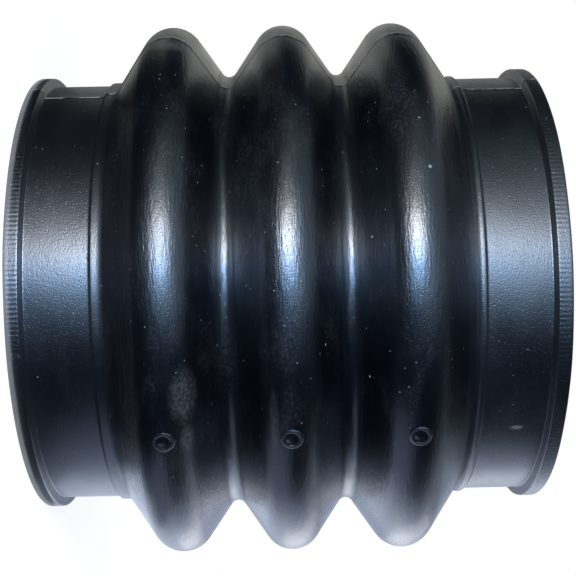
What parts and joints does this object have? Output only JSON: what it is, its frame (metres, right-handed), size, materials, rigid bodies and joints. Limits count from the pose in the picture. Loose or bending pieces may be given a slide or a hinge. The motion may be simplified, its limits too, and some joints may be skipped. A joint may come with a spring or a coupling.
{
  "type": "rubber bellows boot",
  "caption": "Round rubber bellows boot: deep rounded folds between plain cuffs with end rims that keep band clamps on, to seal a moving joint or join pipes.",
  "frame": {"origin": "centre of the lower cuff's end face, on the boot's axis", "axes": "+Z along the boot's axis, from the lower cuff to the upper one; -Y points to the moulding marks on the crests; the mould parted in the XZ plane"},
  "size_m": [0.124, 0.1243, 0.1128],
  "materials": {
    "moulded_rubber": "black moulded rubber, glossy on the folds and fine-grained satin on the cuffs"
  },
  "bodies": {
    "root": {"bellows_boot": "moulded_rubber"}
  },
  "joints": []
}
